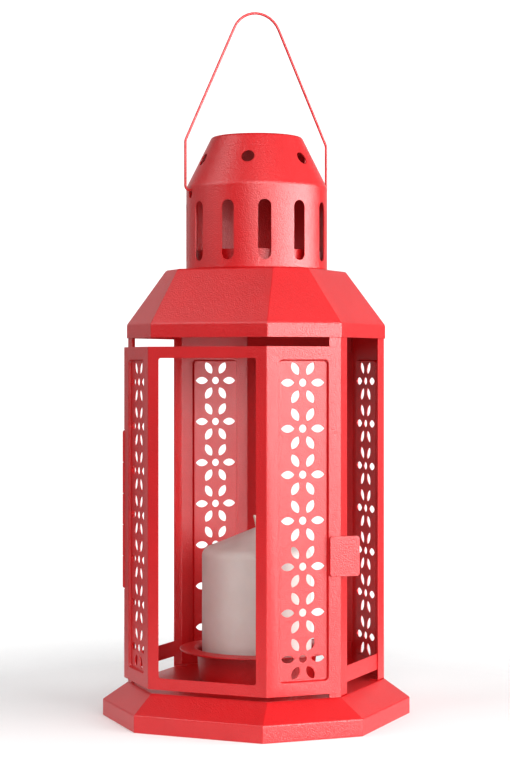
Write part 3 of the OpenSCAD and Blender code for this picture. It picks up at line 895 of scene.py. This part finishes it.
def make_chimney():
    cap_z = high("chimney").z
    flat_r = CAP_R - 5 * MM
    profile = Bend(
        [(CHIMNEY_FOOT_R, roof_z), (CHIMNEY_R, roof_z), (CHIMNEY_R, SHOULDER_Z), (CAP_R, cap_z),
         (flat_r, cap_z)],
        [0.9 * MM, SHOULDER_R, CAP_BEND], steps=6,
    )
    around = 2 * math.pi * CHIMNEY_R
    steps = 96

    def place(u, v, depth):
        (r, z), (dr, dz) = profile.at(v)
        a = u / CHIMNEY_R - math.pi / 2 - math.pi / SLOTS
        r, z = r + dr * depth, z + dz * depth
        return (r * math.cos(a), r * math.sin(a), z)

    def up_wall(z):
        """Length along the profile of a height on the upright wall."""
        return profile.base[1] + z - roof_z

    half = SLOT_W / 2
    pitch = around / SLOTS
    holes = []
    for i in range(SLOTS):
        u = (i + 0.5) * pitch
        v0, v1 = up_wall(SLOT_Z[0] + half), up_wall(SLOT_Z[1] - half)
        holes.append(arc((u, v0), half, -math.pi, 0, 12) + arc((u, v1), half, 0, math.pi, 12))
    slope = math.hypot(CHIMNEY_R - CAP_R, cap_z - SHOULDER_Z) / (cap_z - SHOULDER_Z)
    vent_v = profile.base[2] + (VENT_Z - SHOULDER_Z) * slope
    for i in range(VENTS):
        u = pitch / 2 + (VENT_TURN + i * 2 * math.pi / VENTS) * CHIMNEY_R
        holes.append([
            (u + x * CHIMNEY_R / profile.at(vent_v + y)[0].x, vent_v + y)
            for x, y in circle((0, 0), VENT_D / 2, 28)
        ])
    for side in (0, 1):
        u = pitch / 2 + (math.pi / 2 + BAIL_TURN + side * math.pi) % (2 * math.pi) * CHIMNEY_R
        holes.append(circle((u, up_wall(BAIL_HOLE_Z)), BAIL_HOLE_D / 2, 24))
    past = 1 * MM
    lines = [[(around * k / steps, -past), (around * k / steps, profile.length + past)]
             for k in range(1, steps)]
    rows = 12
    levels = profile.folds + [profile.length * (k + 0.5) / rows for k in range(rows)]
    lines += [[(-past, v), (around + past, v)] for v in levels]
    outline = [(0, 0), (around, 0), (around, profile.length), (0, profile.length)]
    bm = shell(place, outline, holes, lines=lines, period=around, cap=profile.length)
    finished("chimney_shell", bm, red, "lantern", ["chimney"])


def make_bail():
    """One wire: hooked inside the chimney, out through its holes, up, and over in an arc."""
    slack = 0.05 * MM
    axis_z = BAIL_HOLE_Z + (BAIL_HOLE_D - WIRE_D) / 2 - slack
    rise = high("bail").z - WIRE_D / 2 - BAIL_ARC - KINK_Z
    lean = math.atan2(BAIL_X, rise) - math.asin(BAIL_ARC / math.hypot(BAIL_X, rise))
    half = [
        (HOOK_X, axis_z - HOOK_DROP), (HOOK_X, axis_z), (BAIL_X, axis_z), (BAIL_X, KINK_Z),
    ]
    apex = (0, KINK_Z + BAIL_X / math.tan(lean))
    points = half + [apex] + [(-x, z) for x, z in reversed(half)]
    bend, kink = 3 * MM, 6 * MM
    flat = Bend(points, [WIRE_D, bend, kink, BAIL_ARC, kink, bend, WIRE_D], steps=12)
    across = Vector((math.cos(BAIL_TURN), math.sin(BAIL_TURN), 0))
    line = [across * p.x + Vector((0, 0, p.y)) for p in flat.points]
    finished("bail_wire", tube(line, WIRE_D / 2), red_wire, "bail", ["bail"], sharp=60)


# ---------------------------------------------------------------- cup and candle

def make_cup():
    floor_r, lip_r, bead = 3 * MM, 2 * MM, 0.55 * MM
    z0 = low("candle_cup").z
    rim_r = high("candle_cup").x
    rim_z = high("candle_cup").z - CUP_T
    outer = Bend(
        [(0, z0), (CUP_R, z0), (CUP_TOP_R, rim_z), (rim_r, rim_z - RIM_FALL)],
        [floor_r, lip_r], steps=8,
    )
    bore = 0.2 * MM
    face = [tuple(p) for p in outer.points]
    back = [tuple(p + m * CUP_T) for p, m in zip(outer.points, outer.miters)]
    edge = arc((rim_r - bead, rim_z - RIM_FALL + CUP_T / 2 - 0.05 * MM), bead, -2.2, 2.2, 10)
    outline = [(bore, z0)] + face[1:-1] + edge + list(reversed(back[1:-1]))
    outline += [(bore, z0 + CUP_T)]
    bm = revolved(outline)
    closed_across(bm)
    finished("candle_cup_spun", bm, red, "lantern", ["candle_cup"], sharp=50)


def make_candle():
    lo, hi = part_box("candle_wax")
    radius = hi.x
    shoulder_z = hi.z - WAX_RISE
    foot = 2 * MM
    bore = WICK_R
    side = Bend(
        [(bore, lo.z), (radius, lo.z), (radius, shoulder_z), (bore, hi.z)],
        [foot, WAX_SHOULDER], steps=8,
    )
    step = 2.2 * MM
    count = round(side.length / step)
    lengths = sorted(set(side.lengths) | {side.length * k / count for k in range(count + 1)})
    outline = [tuple(side.at(s)[0]) for s in lengths]

    def wobble(p):
        """The poured top isn't quite true, and the side has shallow hollows."""
        if p.z < lo.z + 2 * foot:
            return Vector((0, 0, 0))
        out = Vector((p.x, p.y, 0)).normalized()
        fade = min((p.z - lo.z - 2 * foot) / (10 * MM), 1)
        hollow = noise.noise(p * 38) * 0.16 * MM - 0.16 * MM
        top = max(p.z - shoulder_z + 2 * MM, 0) / WAX_RISE
        sag = noise.noise(p * 70 + Vector((4, 1, 7))) * 0.5 * MM * top * min(out.dot(p) / (8 * MM), 1)
        return out * hollow * fade * min(out.dot(p) / (10 * MM), 1) + Vector((0, 0, min(sag, 0)))

    bm = revolved(outline, 160, wobble)
    closed_across(bm)
    finished("candle_body", bm, paraffin, "candle", ["candle_wax"], sharp=80)


def make_wick():
    """Three strands laid round each other, waxed, with the loose tip leaning a little."""
    hi = high("candle_wick")
    wax_top = high("candle_wax").z
    strand_r, lay_r, pitch = 0.46 * MM, 0.46 * MM, 4.2 * MM
    start = wax_top - 4 * MM
    bm = bmesh.new()
    for strand in range(3):
        line = []
        steps = 60
        for k in range(steps + 1):
            z = start + (hi.z - strand_r - start) * k / steps
            a = 2 * math.pi * ((z - start) / pitch + strand / 3)
            free = max(z - wax_top, 0)
            lean = Vector((-0.9, -0.4, 0)) * free * (0.12 + 10 * free)
            spread = lay_r * (1 + 0.25 * (k / steps) ** 6)
            line.append(Vector((spread * math.cos(a), spread * math.sin(a), z)) + lean)
        part = tube(line, strand_r, 10)
        mesh = bpy.data.meshes.new("strand")
        part.to_mesh(mesh)
        part.free()
        bm.from_mesh(mesh)
        bpy.data.meshes.remove(mesh)
    finished("candle_wick_strands", bm, yarn, "candle", ["candle_wick"], sharp=60)


# ---------------------------------------------------------------- studio

CAMERA_AZIMUTH = math.radians(23.72)
CAMERA_LENS = 91.24
CAMERA_SHIFT = -0.0251
CAMERA_DISTANCE = 1.234
CAMERA_HEIGHT = 0.2238
CAMERA_ASIDE = -1.07 * MM
FLOOR_R = 0.5
FLOOR_GLOW = 0.08
ROOM_GLOW = 0.15
LIGHT_AIM = 0.2
# name, bearing and elevation in degrees, distance, width, height, radiance
SOFT_BOXES = [
    ("key", 68.5, 7, 1.6, 2.2, 0.9, 5.8),
    ("front", 12, 26, 1.6, 1.2, 1.2, 3.3),
    ("left_front", -72, 34, 1.6, 1.0, 1.2, 2.0),
    ("high_front", 5, 48, 1.6, 2.0, 1.0, 0.12),
    ("high_right", 90, 48, 1.6, 2.0, 1.0, 0.3),
    ("left", -112, 10, 1.5, 1.7, 1.2, 0.2),
    ("high_left", -90, 48, 1.6, 2.0, 1.0, 0.1),
    ("behind", 180, 10, 1.6, 2.2, 1.3, 0.5),
]


def make_floor():
    """A pale floor round the object, which fades into the white backdrop."""
    bpy.ops.mesh.primitive_circle_add(
        vertices=96, radius=FLOOR_R, fill_type="NGON", location=(0, 0, 0)
    )
    floor = bpy.context.object
    floor.name = "studio_floor"
    material, tree, shader, coords = new_material("pale_floor")
    tree.links.new(
        blended(tree, mottled(tree, coords, 6), (0.90, 0.90, 0.90), (0.92, 0.92, 0.92)),
        shader.inputs["Base Color"],
    )
    shader.inputs["Roughness"].default_value = 0.9
    shader.inputs["Specular IOR Level"].default_value = 0.1
    shader.inputs["Emission Color"].default_value = (1, 1, 1, 1)
    shader.inputs["Emission Strength"].default_value = FLOOR_GLOW
    length = tree.nodes.new("ShaderNodeVectorMath")
    length.operation = "LENGTH"
    tree.links.new(coords, length.inputs[0])
    tree.links.new(
        ranged(tree, length.outputs["Value"], FLOOR_R * 0.45, FLOOR_R * 0.98, 1, 0),
        shader.inputs["Alpha"],
    )
    floor.data.materials.append(material)


def soft_box(name, bearing, elevation, distance, width, height, radiance):
    """Soft box facing the lantern. Bearings are in degrees to the right of the camera's."""
    data = bpy.data.lights.new(name, "AREA")
    data.shape = "RECTANGLE"
    data.size, data.size_y = width, height
    data.energy = radiance * math.pi * width * height
    light = bpy.data.objects.new(name, data)
    turn, up = CAMERA_AZIMUTH + math.radians(bearing), math.radians(elevation)
    towards = Vector((math.sin(turn) * math.cos(up), -math.cos(turn) * math.cos(up), math.sin(up)))
    light.location = Vector((0, 0, LIGHT_AIM)) + towards * distance
    light.rotation_euler = (-towards).to_track_quat("-Z", "Y").to_euler()
    light.visible_camera = False
    bpy.context.scene.collection.objects.link(light)


def make_camera():
    data = bpy.data.cameras.new("camera")
    data.sensor_width = 36
    data.lens = CAMERA_LENS
    data.shift_y = CAMERA_SHIFT
    data.clip_start, data.clip_end = 0.05, 50
    camera = bpy.data.objects.new("camera", data)
    back = Vector((math.sin(CAMERA_AZIMUTH), -math.cos(CAMERA_AZIMUTH), 0))
    right = Vector((math.cos(CAMERA_AZIMUTH), math.sin(CAMERA_AZIMUTH), 0))
    camera.location = back * CAMERA_DISTANCE + right * CAMERA_ASIDE + Vector((0, 0, CAMERA_HEIGHT))
    camera.rotation_euler = (math.pi / 2, 0, CAMERA_AZIMUTH)
    bpy.context.scene.collection.objects.link(camera)
    bpy.context.scene.camera = camera


def make_studio():
    """A dim room and its soft boxes, with a white backdrop that only the camera's own rays meet."""
    world = bpy.data.worlds.new("studio")
    bpy.context.scene.world = world
    world.use_nodes = True
    tree = world.node_tree
    room = tree.nodes["Background"]
    room.inputs["Color"].default_value = (1, 1, 1, 1)
    room.inputs["Strength"].default_value = ROOM_GLOW
    backdrop = tree.nodes.new("ShaderNodeBackground")
    backdrop.inputs["Color"].default_value = (1, 1, 1, 1)
    seen = tree.nodes.new("ShaderNodeLightPath").outputs["Is Camera Ray"]
    mix = tree.nodes.new("ShaderNodeMixShader")
    tree.links.new(seen, mix.inputs["Fac"])
    tree.links.new(room.outputs["Background"], mix.inputs[1])
    tree.links.new(backdrop.outputs["Background"], mix.inputs[2])
    tree.links.new(mix.outputs["Shader"], tree.nodes["World Output"].inputs["Surface"])
    for values in SOFT_BOXES:
        soft_box(*values)
    bpy.context.scene.view_settings.view_transform = "Standard"
    bpy.context.scene.view_settings.look = "Medium High Contrast"


make_camera()
make_studio()
make_floor()
make_foot()
make_cage()
make_rails()
door_plane = make_door()
make_door_tab(door_plane)
make_hinge()
make_roof()
make_chimney()
make_bail()
make_cup()
make_candle()
make_wick()
